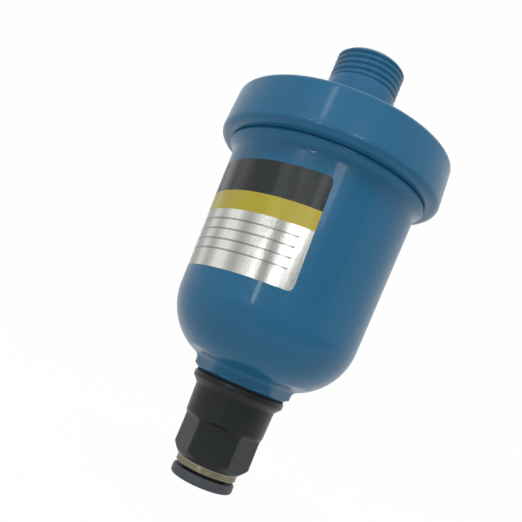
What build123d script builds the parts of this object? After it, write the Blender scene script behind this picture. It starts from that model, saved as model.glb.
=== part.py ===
from build123d import *
import math
import os

# Automatic drain valve: a float-operated drain that hangs from a pipe by its threaded nipple.
# Millimetres, +Z up towards the pipe.  The origin lies on the axis, at the lower end of the
# inlet thread.  Threads are left out: a threaded pair is a plain shaft in a plain hole.

# ------------------------------------------------------------------ clearances
THREAD_GAP = 0.3        # radial, between the bare lid bore and the bare bowl collar
TIGHT_GAP = 0.02        # radial, for a pressed, screwed or glued seat
SLIDE_GAP = 0.06        # radial, for a piston, stem or pin that moves in its hole
SEAL_GAP = 0.03         # round a seal ring in its groove and on its wall
FREE_GAP = 0.4          # between parts that pass each other without touching
LIFT_GAP = 0.3          # left between a moving part and its stop

# ------------------------------------------------------------------ lid and inlet nipple
THREAD_DIAMETER = 20.955    # G 1/2 major diameter
THREAD_LENGTH = 9.5
NIPPLE_SHANK = 9.7          # plain length between the thread and the crown
NIPPLE_CHAMFER = 0.9
INLET_BORE = 14.0
CROWN_FILLET = 2.0          # where the crown runs up into the nipple
CROWN_RISE = 5.2
LID_WALL = 4.0              # round the bowl's collar, at the shoulder, before the draft
SHOULDER_DEPTH = 4.2        # from the shoulder down to the top of the skirt's bore
LID_DRAFT = 2.6             # degrees
SHOULDER_FILLET = 1.5
RIM_FILLET = 2.2
ROOF_WALL = 3.8

# ------------------------------------------------------------------ bowl
COLLAR_STEP = 0.57          # radial, from the bowl's wall out to its male thread
COLLAR_HEIGHT = 9.0
COLLAR_CHAMFER = 0.6
SEAL_SECTION = 1.0          # radius of the lid seal's round section
SEAL_DROP = 2.4             # from the collar's top to the seal's centre
FLANGE_STEP = 1.26          # radial, from the male thread out to the flange
FLANGE_HEIGHT = 0.9
FLANGE_TAPER = 1.8          # height of the cone below the flange
FLANGE_ROUND = 0.4
FLANGE_BLEND = 3.0          # where the cone runs into the wall
BOWL_RADIUS = 27.83         # just below the flange cone
BOWL_STRAIGHT = 41.3
BOWL_DRAFT = 2.1            # degrees
BOWL_WALL = 3.0
DOME_RADIUS = 18.3
NECK_HEIGHT = 1.835         # from the foot of the dome's blend to the neck's face
NECK_BLEND = 2.0            # concave round between the dome and the neck
NECK_TURNED = 0.3           # radial, turned off the hexagon's corners
NECK_FLATS = 25.0           # hexagon across flats
NECK_FLAT_HEIGHT = 3.1
NECK_CHAMFER = 0.35
RELIEF_ANGLE = 22.0         # degrees from level, of the relief above each flat
BOSS_RADIUS = 12.6          # inner boss that carries the drain unit
BOSS_HEIGHT = 11.2          # from the neck's face
PORT_DEPTH = 8.2            # threaded depth for the outlet fitting

# ------------------------------------------------------------------ outlet fitting
PORT_DIAMETER = 16.66       # G 3/8 major diameter
SHANK_LENGTH = 8.6          # from the fitting's flange
SHANK_CHAMFER = 0.6
GASKET_RADIUS = 12.75
GASKET_THICKNESS = 0.9
BEAD_RADIUS = 13.1
BEAD_HEIGHT = 0.9
BEAD_ROUND = 0.3
FITTING_CONE = 2.5
SLEEVE_TOP_RADIUS = 11.5
SLEEVE_RADIUS = 11.2
SLEEVE_LENGTH = 7.0
HEX_STEP = 1.1              # bevel from the sleeve to the hexagon
HEX_FLATS = 19.0
HEX_ENVELOPE = 10.85        # radius to which the hexagon's corners are turned
HEX_LENGTH = 8.1
HEX_TURN = -3.0             # degrees
NOSE_HEIGHT = 2.2
NOSE_RADIUS = 8.8
TUBE_DIAMETER = 10.0
TUBE_CLEARANCE = 0.1        # radial
FLOW_RADIUS = 4.0           # bore behind the tube stop
TUBE_SEAT = 5.6             # plain bore between the tube stop and the seal
CARTRIDGE_RADIUS = 7.4      # cavity for the seal and the gripper
TUBE_SEAL_NIP = 0.1         # how far the seal stands inside the tube's surface
WASHER_WEB = 0.4
WASHER_RIM = 0.4
WASHER_SKIRT = 1.8
GRIP_ROOT = 1.4             # height of the gripper's outer ring
GRIP_WALL = 0.45
GRIP_RISE = 1.6             # height that its teeth slope inwards
GRIP_OPEN = 0.35            # radial, between its teeth and the tube
GRIP_SLOTS = 8
GRIP_SLOT_WIDTH = 0.8
GRIP_SLOT_LAND = 0.4        # radial, left between a slot and the outer ring
RING_SLEEVE = 1.3           # part of the brass ring inside the body
RING_RADIUS = 8.6
RING_HEIGHT = 1.7
RING_GROOVE = 0.2           # depth of the two lines turned in it
RING_SHELF = 1.0            # depth of its counterbore, which traps the release collar
COLLAR_WALL = 0.85          # of the release collar's sleeve
COLLAR_BARB = 0.45
BARB_HEIGHT = 0.7
COLLAR_NECK = 0.9           # gap that shows between the ring and the collar's head
HEAD_RADIUS = 8.8
HEAD_HEIGHT = 2.6
HEAD_FILLET = 0.7

# ------------------------------------------------------------------ drain unit in the bowl
BASE_RADIUS = 12.2
BASE_FLANGE = 2.0
BASE_RIM_WALL = 0.7
BASE_RIM_HEIGHT = 1.2
SPIGOT_RADIUS = 6.5
SPIGOT_LENGTH = 2.6
BASE_SEAL_RADIUS = 9.2      # centre line of the seal under the flange
BASE_SEAL_SECTION = 0.7
SEAT_RADIUS = 3.2
EXIT_RADIUS = 4.6
EXIT_CONE = 0.7
FOOT_HEIGHT = 1.6
FOOT_BORE = 6.6
WINDOW_HEIGHT = 6.4
WINDOW_PAIRS = 2
WINDOW_WIDTH = 11.0
REST_RADIUS = 11.2          # flange on which the float rests
REST_THICKNESS = 2.5
CYLINDER_BORE = 7.0
CYLINDER_WALL = 1.6
CYLINDER_HEIGHT = 21.0      # above the float's rest
CLIP_DROP = 1.6             # from the cylinder's top to the clip
CLIP_THICKNESS = 0.8
CLIP_BITE = 0.5             # depth of its groove
CLIP_REACH = 1.2            # how far it stands out of the cylinder
CLIP_MOUTH = 9.0            # width of the gap between its ends
STRAINER_RADIUS = 10.9
STRAINER_WALL = 0.5
STRAINER_SLOTS = 16
STRAINER_SLOT_WIDTH = 1.0
STRAINER_BAND = 1.0         # unslotted height at each end

# ------------------------------------------------------------------ valve, piston and spring
VALVE_TRAVEL = 2.5
STEM_RADIUS = 2.0
STEM_WAIST = 1.7
WAIST_LENGTH = 7.2
HEAD_LENGTH = 2.6           # the stem's sealing head
HEAD_GAP = 0.1              # radial, between the sealing head and the seat
HEAD_REACH = 3.0            # how far the head reaches below the base's face
STEM_TENON = 1.4
VALVE_SEAL_SECTION = 0.6
PISTON_HEIGHT = 5.0
PISTON_DROP = 4.3           # from the cylinder's top to the piston at rest
PISTON_SKIRT = 1.0          # wall of the piston's skirt
PISTON_WEB = 2.2
PISTON_SEAL_SECTION = 0.8
SPRING_WIRE = 0.9
SPRING_RADIUS = 5.0         # to the middle of the wire
SPRING_TURNS = 4
SPRING_SIDES = 8            # the round wire is drawn with this many sides

# ------------------------------------------------------------------ pilot valve and lever
CAP_FLANGE = 1.7
CAP_PLUG = 3.9
CAP_SEAL_SECTION = 0.6
NOZZLE_RADIUS = 1.6
NOZZLE_CONE = 1.0
NOZZLE_HEIGHT = 2.8         # above the cap
NOZZLE_TIP = 0.8            # radius of its flat tip
NOZZLE_BORE = 0.4
LEVER_PIVOT_X = 5.9
LEVER_PIVOT_HEIGHT = 2.3    # above the cap
PIN_RADIUS = 0.9
EAR_RADIUS = 1.9
EAR_THICKNESS = 1.4
LEVER_WIDTH = 4.0
LEVER_THICKNESS = 1.7
LEVER_REACH = 13.0          # from the axis to the middle of the lever's nose
LEVER_NOSE = 1.2            # radius
LEVER_HUB = 1.7             # radius
LEVER_SIDE_GAP = 0.3
PAD_RADIUS = 1.4
PAD_THICKNESS = 1.2
PAD_STAND = 0.4             # how far the pad stands out of the lever

# ------------------------------------------------------------------ float
FLOAT_SIDE_GAP = 1.3        # radial, from the narrowest part of the bowl's wall
FLOAT_HEIGHT = 22.0
FLOAT_TRAVEL = 6.0
FLOAT_FILLET = 2.0


# ------------------------------------------------------------------ levels and shared radii
def drop(length, degrees):
    """How far a drafted wall moves inwards over a length."""
    return length * math.tan(math.radians(degrees))


THREAD_RADIUS = THREAD_DIAMETER / 2
NIPPLE_TOP = THREAD_LENGTH
CROWN_Z = -NIPPLE_SHANK
SHOULDER_Z = CROWN_Z - CROWN_RISE
BORE_TOP = SHOULDER_Z - SHOULDER_DEPTH
COLLAR_TOP = BORE_TOP - FREE_GAP
RIM_Z = COLLAR_TOP - COLLAR_HEIGHT
COLLAR_RADIUS = BOWL_RADIUS + COLLAR_STEP
FLANGE_RADIUS = COLLAR_RADIUS + FLANGE_STEP
LID_BORE = COLLAR_RADIUS + THREAD_GAP
LID_RADIUS = LID_BORE + LID_WALL
RIM_RADIUS = LID_RADIUS + drop(SHOULDER_Z - RIM_Z, LID_DRAFT)
SEAL_Z = COLLAR_TOP - SEAL_DROP
SEAL_RADIUS = LID_BORE - SEAL_GAP - SEAL_SECTION

FLANGE_FOOT = RIM_Z - FLANGE_HEIGHT
BOWL_TOP = FLANGE_FOOT - FLANGE_TAPER
DOME_Z = BOWL_TOP - BOWL_STRAIGHT
DOME_START = BOWL_RADIUS - drop(BOWL_STRAIGHT, BOWL_DRAFT)
DOME_CENTRE = DOME_START - DOME_RADIUS * math.cos(math.radians(BOWL_DRAFT))
DOME_CENTRE_Z = DOME_Z + DOME_RADIUS * math.sin(math.radians(BOWL_DRAFT))
NECK_RADIUS = NECK_FLATS / math.sqrt(3) - NECK_TURNED
BLEND_REACH = NECK_RADIUS + NECK_BLEND - DOME_CENTRE
DOME_ANGLE = math.degrees(math.acos(BLEND_REACH / (DOME_RADIUS + NECK_BLEND)))
BLEND_Z = DOME_CENTRE_Z - BLEND_REACH * math.tan(math.radians(DOME_ANGLE))
NECK_Z = BLEND_Z - NECK_HEIGHT
BOSS_Z = NECK_Z + BOSS_HEIGHT
PORT_RADIUS = PORT_DIAMETER / 2
PORT_TOP = NECK_Z + PORT_DEPTH

FITTING_Z = NECK_Z - GASKET_THICKNESS
BEAD_FOOT = FITTING_Z - BEAD_HEIGHT
SLEEVE_TOP = BEAD_FOOT - FITTING_CONE
SLEEVE_FOOT = SLEEVE_TOP - SLEEVE_LENGTH
HEX_TOP = SLEEVE_FOOT - HEX_STEP
HEX_FOOT = HEX_TOP - HEX_LENGTH
BODY_FOOT = HEX_FOOT - NOSE_HEIGHT
TUBE_RADIUS = TUBE_DIAMETER / 2
PASSAGE = TUBE_RADIUS + TUBE_CLEARANCE
RING_TOP = BODY_FOOT + RING_SLEEVE
WASHER_FOOT = RING_TOP + GRIP_ROOT
WASHER_TOP = WASHER_FOOT + WASHER_SKIRT + WASHER_WEB
TUBE_SEAL_SECTION = (CARTRIDGE_RADIUS - SEAL_GAP - TUBE_RADIUS + TUBE_SEAL_NIP) / 2
TUBE_SEAL_RADIUS = CARTRIDGE_RADIUS - SEAL_GAP - TUBE_SEAL_SECTION
CARTRIDGE_TOP = WASHER_TOP + 2 * (TUBE_SEAL_SECTION + SEAL_GAP)
STOP_Z = CARTRIDGE_TOP + TUBE_SEAT
RING_FOOT = BODY_FOOT - RING_HEIGHT
COLLAR_SLEEVE = PASSAGE + TUBE_CLEARANCE + COLLAR_WALL
BARB_RADIUS = COLLAR_SLEEVE + COLLAR_BARB
SHELF_Z = RING_TOP - RING_SHELF
HEAD_TOP = RING_FOOT - COLLAR_NECK
HEAD_FOOT = HEAD_TOP - HEAD_HEIGHT

BASE_Z = BOSS_Z + BASE_FLANGE
FOOT_RADIUS = BASE_RADIUS - BASE_RIM_WALL - TIGHT_GAP
FOOT_TOP = BASE_Z + FOOT_HEIGHT
WINDOW_TOP = FOOT_TOP + WINDOW_HEIGHT
REST_Z = WINDOW_TOP + REST_THICKNESS
CYLINDER_RADIUS = CYLINDER_BORE + CYLINDER_WALL
CYLINDER_TOP = REST_Z + CYLINDER_HEIGHT
CAP_TOP = CYLINDER_TOP + CAP_FLANGE
CLIP_TOP = CYLINDER_TOP - CLIP_DROP
CLIP_FOOT = CLIP_TOP - CLIP_THICKNESS
CLIP_INNER = CYLINDER_RADIUS - CLIP_BITE
CLIP_RADIUS = CYLINDER_RADIUS + CLIP_REACH

PISTON_TOP = CYLINDER_TOP - PISTON_DROP
PISTON_FOOT = PISTON_TOP - PISTON_HEIGHT
PISTON_RADIUS = CYLINDER_BORE - SLIDE_GAP
WEB_FOOT = PISTON_TOP - PISTON_WEB
VALVE_HEAD = SEAT_RADIUS - HEAD_GAP
STEM_FOOT = BASE_Z - HEAD_REACH
STEM_SEAL_Z = STEM_FOOT + HEAD_LENGTH / 2
STEM_HEAD_TOP = STEM_FOOT + HEAD_LENGTH
EXIT_Z = STEM_SEAL_Z - VALVE_TRAVEL + VALVE_SEAL_SECTION  # level with the open valve's seal
SEAT_FOOT = EXIT_Z + EXIT_CONE

NOZZLE_Z = CAP_TOP + NOZZLE_HEIGHT
PIVOT_Z = CAP_TOP + LEVER_PIVOT_HEIGHT
ARM_FOOT = NOZZLE_Z + PAD_STAND
FLOAT_RADIUS = DOME_START - BOWL_WALL - FLOAT_SIDE_GAP
FLOAT_TOP = REST_Z + FLOAT_HEIGHT
NOSE_Z = FLOAT_TOP + LIFT_GAP + LEVER_NOSE
FLOAT_BORE = CYLINDER_RADIUS + FREE_GAP
FLOAT_SHOULDER = CLIP_FOOT - FLOAT_TRAVEL - LIFT_GAP


# ------------------------------------------------------------------ shapes used by several parts
def spun(outline):
    """A solid of revolution about Z from a closed (radius, height) outline."""
    return revolve(Plane.XZ * make_face(outline), Axis.Z)


def turned(*corners, rounds=None):
    """A solid of revolution from (radius, height) corners; rounds gives some of them a radius."""
    if not rounds:
        return spun(Polyline(*corners, close=True))
    radii = [rounds.get(index, 0) for index in range(len(corners))]
    return spun(FilletPolyline(*corners, radius=radii, close=True))


def tube(outer, inner, foot, top):
    """A plain ring or bush."""
    return turned((inner, foot), (outer, foot), (outer, top), (inner, top))


def rod(radius, foot, top):
    """A plain round bar along Z."""
    return Pos(0, 0, foot) * Cylinder(radius, top - foot, align=(Align.CENTER, Align.CENTER, Align.MIN))


def seal_ring(centre_radius, section, height):
    """A round-section seal ring."""
    return Pos(0, 0, height) * Torus(centre_radius, section)


def cross_rod(radius, length, x, height):
    """A round bar along Y."""
    return Pos(x, 0, height) * Rot(90, 0, 0) * Cylinder(radius, length)


def hex_face(across_flats, height):
    """A hexagon with two flats across Y."""
    return Pos(0, 0, height) * RegularPolygon(across_flats / 2, 6, major_radius=False)


def around(count, solid):
    """Copies of a solid spaced evenly about Z."""
    return [Rot(0, 0, 360 * index / count) * solid for index in range(count)]


# ------------------------------------------------------------------ lid
def make_lid():
    """Lid with its nipple: a shallow crown, a drafted skirt, and the bore for the bowl's collar."""
    slope = CROWN_RISE / (LID_RADIUS - THREAD_RADIUS)
    inlet = INLET_BORE / 2
    roof_edge = LID_BORE - ROOF_WALL / 2
    roof_edge_z = CROWN_Z - ROOF_WALL - slope * (roof_edge - THREAD_RADIUS)
    return turned(
        (inlet, NIPPLE_TOP),
        (THREAD_RADIUS - NIPPLE_CHAMFER, NIPPLE_TOP),
        (THREAD_RADIUS, NIPPLE_TOP - NIPPLE_CHAMFER),
        (THREAD_RADIUS, CROWN_Z),
        (LID_RADIUS, SHOULDER_Z),
        (RIM_RADIUS, RIM_Z),
        (LID_BORE, RIM_Z),
        (LID_BORE, BORE_TOP),
        (roof_edge, roof_edge_z),
        (THREAD_RADIUS, CROWN_Z - ROOF_WALL),
        (inlet, CROWN_Z - ROOF_WALL),
        rounds={3: CROWN_FILLET, 4: SHOULDER_FILLET, 5: RIM_FILLET},
    )


# ------------------------------------------------------------------ bowl
def dome_point(radius, degrees):
    """A point on a circle about the dome's centre; the angle is measured down from level."""
    angle = math.radians(degrees)
    return DOME_CENTRE + radius * math.cos(angle), DOME_CENTRE_Z - radius * math.sin(angle)


def dome_arc(radius, start, end):
    """An arc about the dome's centre between two angles."""
    middle = dome_point(radius, (start + end) / 2)
    return ThreePointArc(dome_point(radius, start), middle, dome_point(radius, end))


def bowl_outline():
    """Half section of the bowl: collar, flange, drafted wall, dome, neck, port, boss and cavity."""
    groove = SEAL_SECTION + SEAL_GAP
    groove_floor = SEAL_RADIUS - groove
    outside = FilletPolyline(
        (COLLAR_RADIUS - COLLAR_CHAMFER, COLLAR_TOP),
        (COLLAR_RADIUS, COLLAR_TOP - COLLAR_CHAMFER),
        (COLLAR_RADIUS, SEAL_Z + groove),
        (groove_floor, SEAL_Z + groove),
        (groove_floor, SEAL_Z - groove),
        (COLLAR_RADIUS, SEAL_Z - groove),
        (COLLAR_RADIUS, RIM_Z),
        (FLANGE_RADIUS, RIM_Z),
        (FLANGE_RADIUS, FLANGE_FOOT),
        (BOWL_RADIUS, BOWL_TOP),
        dome_point(DOME_RADIUS, BOWL_DRAFT),
        radius=[0, 0, 0, 0, 0, 0, FLANGE_ROUND, FLANGE_ROUND, FLANGE_BLEND],
    )
    dome = dome_arc(DOME_RADIUS, BOWL_DRAFT, DOME_ANGLE)
    half_turn = math.radians(DOME_ANGLE / 2)
    blend = ThreePointArc(
        dome_point(DOME_RADIUS, DOME_ANGLE),
        (NECK_RADIUS + NECK_BLEND * (1 - math.cos(half_turn)), BLEND_Z + NECK_BLEND * math.sin(half_turn)),
        (NECK_RADIUS, BLEND_Z),
    )
    port = PORT_RADIUS + TIGHT_GAP
    spigot = SPIGOT_RADIUS + TIGHT_GAP
    inner_radius = DOME_RADIUS - BOWL_WALL
    boss_angle = math.degrees(math.acos((BOSS_RADIUS - DOME_CENTRE) / inner_radius))
    neck = Polyline(
        (NECK_RADIUS, BLEND_Z),
        (NECK_RADIUS, NECK_Z),
        (port, NECK_Z),
        (port, PORT_TOP),
        (spigot, PORT_TOP),
        (spigot, BOSS_Z),
        (BOSS_RADIUS, BOSS_Z),
        dome_point(inner_radius, boss_angle),
    )
    inner_dome = dome_arc(inner_radius, boss_angle, BOWL_DRAFT)
    cavity = Polyline(
        dome_point(inner_radius, BOWL_DRAFT),
        (BOWL_RADIUS - BOWL_WALL, BOWL_TOP),
        (BOWL_RADIUS - BOWL_WALL, COLLAR_TOP),
        (COLLAR_RADIUS - COLLAR_CHAMFER, COLLAR_TOP),
    )
    return outside + dome + blend + neck + inner_dome + cavity


def neck_cutter():
    """What the hexagon's flats and the slanted reliefs above them take off the neck and dome."""
    flat_top = NECK_Z + NECK_FLAT_HEIGHT
    spread = 2 * (BOWL_RADIUS - NECK_FLATS / 2)
    relief_rise = spread / 2 * math.tan(math.radians(RELIEF_ANGLE))
    below = NECK_Z - NECK_HEIGHT
    stock = rod(2 * BOWL_RADIUS, below, flat_top + relief_rise)
    hexagon = extrude(hex_face(NECK_FLATS, below), flat_top - below)
    relief = loft([hex_face(NECK_FLATS, flat_top), hex_face(NECK_FLATS + spread, flat_top + relief_rise)])
    return stock - hexagon - relief


def make_bowl():
    """Bowl: a deep drafted cup with a domed end and a hexagonal neck for the outlet fitting."""
    bevel = turned(
        (NECK_RADIUS - NECK_CHAMFER, NECK_Z),
        (NECK_RADIUS + NECK_CHAMFER, NECK_Z),
        (NECK_RADIUS + NECK_CHAMFER, NECK_Z + 2 * NECK_CHAMFER),
    )
    return spun(bowl_outline()) - neck_cutter() - bevel


# ------------------------------------------------------------------ outlet fitting
def make_fitting_body():
    """Push-in fitting: threaded shank, beaded flange, taper, sleeve and hexagon, bored through."""
    turned_part = turned(
        (0, FITTING_Z + SHANK_LENGTH),
        (PORT_RADIUS - SHANK_CHAMFER, FITTING_Z + SHANK_LENGTH),
        (PORT_RADIUS, FITTING_Z + SHANK_LENGTH - SHANK_CHAMFER),
        (PORT_RADIUS, FITTING_Z),
        (BEAD_RADIUS, FITTING_Z),
        (BEAD_RADIUS, BEAD_FOOT),
        (SLEEVE_TOP_RADIUS, SLEEVE_TOP),
        (SLEEVE_RADIUS, SLEEVE_FOOT),
        (HEX_FLATS / 2, HEX_TOP),
        (0, HEX_TOP),
        rounds={4: BEAD_ROUND, 5: BEAD_ROUND, 6: FITTING_CONE / 2},
    )
    envelope = turned(
        (0, SLEEVE_FOOT),
        (HEX_ENVELOPE, SLEEVE_FOOT),
        (HEX_ENVELOPE, HEX_FOOT),
        (NOSE_RADIUS, BODY_FOOT),
        (0, BODY_FOOT),
    )
    hexagon = extrude(Rot(0, 0, HEX_TURN) * hex_face(HEX_FLATS, BODY_FOOT), SLEEVE_FOOT - BODY_FOOT)
    bores = (
        rod(FLOW_RADIUS, STOP_Z, FITTING_Z + SHANK_LENGTH)
        + rod(PASSAGE, CARTRIDGE_TOP, STOP_Z)
        + rod(CARTRIDGE_RADIUS, BODY_FOOT, CARTRIDGE_TOP)
    )
    return turned_part + (hexagon & envelope) - bores


def make_seal_washer():
    """Cupped washer that holds the tube seal apart from the gripper."""
    outer = CARTRIDGE_RADIUS - TIGHT_GAP
    eye = PASSAGE + TUBE_CLEARANCE
    web_foot = WASHER_FOOT + WASHER_SKIRT
    return turned(
        (eye, WASHER_TOP), (outer, WASHER_TOP), (outer, WASHER_FOOT),
        (outer - WASHER_RIM, WASHER_FOOT), (outer - WASHER_RIM, web_foot), (eye, web_foot),
    )


def make_gripper():
    """Gripper: a ring whose slotted teeth slope inwards and up, and hold the tube."""
    outer = CARTRIDGE_RADIUS - TIGHT_GAP
    root = outer - WASHER_RIM - TIGHT_GAP
    tip = TUBE_RADIUS + GRIP_OPEN
    ring = turned(
        (outer, RING_TOP),
        (outer, WASHER_FOOT),
        (root, WASHER_FOOT),
        (tip, WASHER_FOOT + GRIP_RISE),
        (tip, WASHER_FOOT + GRIP_RISE - GRIP_WALL),
        (root, WASHER_FOOT - GRIP_WALL),
        (root, RING_TOP),
    )
    reach = root - GRIP_SLOT_LAND - tip
    slot = Pos(tip, 0, WASHER_FOOT) * Box(2 * reach, GRIP_SLOT_WIDTH, 3 * GRIP_RISE)
    return ring - around(GRIP_SLOTS, slot)


def make_brass_ring():
    """Brass ring pressed into the fitting: it traps the gripper and guides the release collar."""
    inner = COLLAR_SLEEVE + SLIDE_GAP
    pocket = BARB_RADIUS + SLIDE_GAP
    ring = turned(
        (inner, RING_FOOT),
        (RING_RADIUS, RING_FOOT),
        (RING_RADIUS, BODY_FOOT),
        (CARTRIDGE_RADIUS - TIGHT_GAP, BODY_FOOT),
        (CARTRIDGE_RADIUS - TIGHT_GAP, RING_TOP),
        (pocket, RING_TOP),
        (pocket, SHELF_Z),
        (inner, SHELF_Z),
    )
    for share in (1 / 3, 2 / 3):
        middle = RING_FOOT + RING_HEIGHT * share
        ring -= tube(RING_RADIUS + RING_GROOVE, RING_RADIUS - RING_GROOVE,
                     middle - RING_GROOVE, middle + RING_GROOVE)
    return ring


def make_release_collar():
    """Release collar: a flanged sleeve with a barb, pushed in to free the tube."""
    bore = PASSAGE + TUBE_CLEARANCE
    barb_top = SHELF_Z + TIGHT_GAP + BARB_HEIGHT
    return turned(
        (bore, barb_top),
        (COLLAR_SLEEVE, barb_top),
        (BARB_RADIUS, barb_top - COLLAR_BARB),
        (BARB_RADIUS, SHELF_Z + TIGHT_GAP),
        (COLLAR_SLEEVE, SHELF_Z + TIGHT_GAP),
        (COLLAR_SLEEVE, HEAD_TOP),
        (HEAD_RADIUS, HEAD_TOP),
        (HEAD_RADIUS, HEAD_FOOT),
        (bore, HEAD_FOOT),
        rounds={6: HEAD_FILLET, 7: HEAD_FILLET, 8: HEAD_FILLET},
    )


# ------------------------------------------------------------------ drain unit
def make_drain_base():
    """Base screwed into the bowl's boss: valve seat, seal groove below, rim for the housing."""
    groove = BASE_SEAL_SECTION + SEAL_GAP
    return turned(
        (SEAT_RADIUS, BASE_Z),
        (BASE_RADIUS - BASE_RIM_WALL, BASE_Z),
        (BASE_RADIUS - BASE_RIM_WALL, BASE_Z + BASE_RIM_HEIGHT),
        (BASE_RADIUS, BASE_Z + BASE_RIM_HEIGHT),
        (BASE_RADIUS, BOSS_Z),
        (BASE_SEAL_RADIUS + groove, BOSS_Z),
        (BASE_SEAL_RADIUS + groove, BOSS_Z + 2 * groove),
        (BASE_SEAL_RADIUS - groove, BOSS_Z + 2 * groove),
        (BASE_SEAL_RADIUS - groove, BOSS_Z),
        (SPIGOT_RADIUS, BOSS_Z),
        (SPIGOT_RADIUS, BOSS_Z - SPIGOT_LENGTH),
        (EXIT_RADIUS, BOSS_Z - SPIGOT_LENGTH),
        (EXIT_RADIUS, EXIT_Z),
        (SEAT_RADIUS, SEAT_FOOT),
    )


def make_valve_housing():
    """Housing: foot ring, posts between the windows, float rest and piston cylinder."""
    guide = STEM_RADIUS + SLIDE_GAP
    post_outer = STRAINER_RADIUS - STRAINER_WALL - TIGHT_GAP
    body = turned(
        (guide, WINDOW_TOP),
        (FOOT_BORE, WINDOW_TOP),
        (FOOT_BORE, BASE_Z),
        (FOOT_RADIUS, BASE_Z),
        (FOOT_RADIUS, FOOT_TOP),
        (post_outer, FOOT_TOP),
        (post_outer, WINDOW_TOP),
        (REST_RADIUS, WINDOW_TOP),
        (REST_RADIUS, REST_Z),
        (CYLINDER_RADIUS, REST_Z),
        (CYLINDER_RADIUS, CLIP_FOOT - TIGHT_GAP),
        (CLIP_INNER, CLIP_FOOT - TIGHT_GAP),
        (CLIP_INNER, CLIP_TOP + TIGHT_GAP),
        (CYLINDER_RADIUS, CLIP_TOP + TIGHT_GAP),
        (CYLINDER_RADIUS, CYLINDER_TOP),
        (CYLINDER_BORE, CYLINDER_TOP),
        (CYLINDER_BORE, REST_Z),
        (guide, REST_Z),
    )
    window = Pos(0, 0, (FOOT_TOP + WINDOW_TOP) / 2) * Box(
        WINDOW_WIDTH, 3 * post_outer, WINDOW_HEIGHT
    )
    return body - [Rot(0, 0, 180 * (index + 0.5) / WINDOW_PAIRS) * window for index in range(WINDOW_PAIRS)]


def make_strainer():
    """Slotted strainer ring round the housing's windows."""
    ring = tube(STRAINER_RADIUS, STRAINER_RADIUS - STRAINER_WALL, FOOT_TOP, WINDOW_TOP - TIGHT_GAP)
    slot = Pos(STRAINER_RADIUS, 0, (FOOT_TOP + WINDOW_TOP) / 2) * Box(
        4 * STRAINER_WALL, STRAINER_SLOT_WIDTH, WINDOW_HEIGHT - 2 * STRAINER_BAND
    )
    return ring - around(STRAINER_SLOTS, slot)


def make_float_clip():
    """Open clip snapped into the cylinder's groove; it stops the float's lift."""
    ring = tube(CLIP_RADIUS, CLIP_INNER + TIGHT_GAP, CLIP_FOOT, CLIP_TOP)
    mouth = Pos(CLIP_RADIUS, 0, CLIP_FOOT) * Box(CLIP_RADIUS, CLIP_MOUTH, 4 * CLIP_THICKNESS)
    return ring - mouth


# ------------------------------------------------------------------ valve, piston and spring
def make_valve_stem():
    """Stem: sealing head, waist past which the water drains, guide and tenon for the piston."""
    groove = VALVE_SEAL_SECTION + SEAL_GAP
    groove_floor = SEAT_RADIUS - SEAL_GAP - VALVE_SEAL_SECTION - groove
    waist_top = STEM_HEAD_TOP + WAIST_LENGTH
    return turned(
        (0, STEM_FOOT),
        (VALVE_HEAD, STEM_FOOT),
        (VALVE_HEAD, STEM_SEAL_Z - groove),
        (groove_floor, STEM_SEAL_Z - groove),
        (groove_floor, STEM_SEAL_Z + groove),
        (VALVE_HEAD, STEM_SEAL_Z + groove),
        (VALVE_HEAD, STEM_HEAD_TOP),
        (STEM_WAIST, STEM_HEAD_TOP),
        (STEM_WAIST, waist_top),
        (STEM_RADIUS, waist_top),
        (STEM_RADIUS, WEB_FOOT),
        (STEM_TENON, WEB_FOOT),
        (STEM_TENON, PISTON_TOP),
        (0, PISTON_TOP),
    )


def make_piston():
    """Piston: a skirted disc with a seal groove in its rim and a hole for the stem."""
    groove = PISTON_SEAL_SECTION + SEAL_GAP
    groove_floor = CYLINDER_BORE - SEAL_GAP - PISTON_SEAL_SECTION - groove
    seal_z = PISTON_TOP - PISTON_WEB / 2
    return turned(
        (STEM_TENON + TIGHT_GAP, PISTON_TOP),
        (PISTON_RADIUS, PISTON_TOP),
        (PISTON_RADIUS, seal_z + groove),
        (groove_floor, seal_z + groove),
        (groove_floor, seal_z - groove),
        (PISTON_RADIUS, seal_z - groove),
        (PISTON_RADIUS, PISTON_FOOT),
        (PISTON_RADIUS - PISTON_SKIRT, PISTON_FOOT),
        (PISTON_RADIUS - PISTON_SKIRT, WEB_FOOT),
        (STEM_TENON + TIGHT_GAP, WEB_FOOT),
    )


def make_spring():
    """Compression spring between the cylinder's floor and the piston."""
    half_wire = SPRING_WIRE / 2
    height = WEB_FOOT - REST_Z - SPRING_WIRE - 2 * TIGHT_GAP
    path = Helix(height / SPRING_TURNS, height, SPRING_RADIUS, center=(0, 0, REST_Z + half_wire + TIGHT_GAP))
    section = Plane(origin=path @ 0, z_dir=path % 0) * RegularPolygon(half_wire, SPRING_SIDES)
    return sweep(section, path=path, is_frenet=True)


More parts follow.
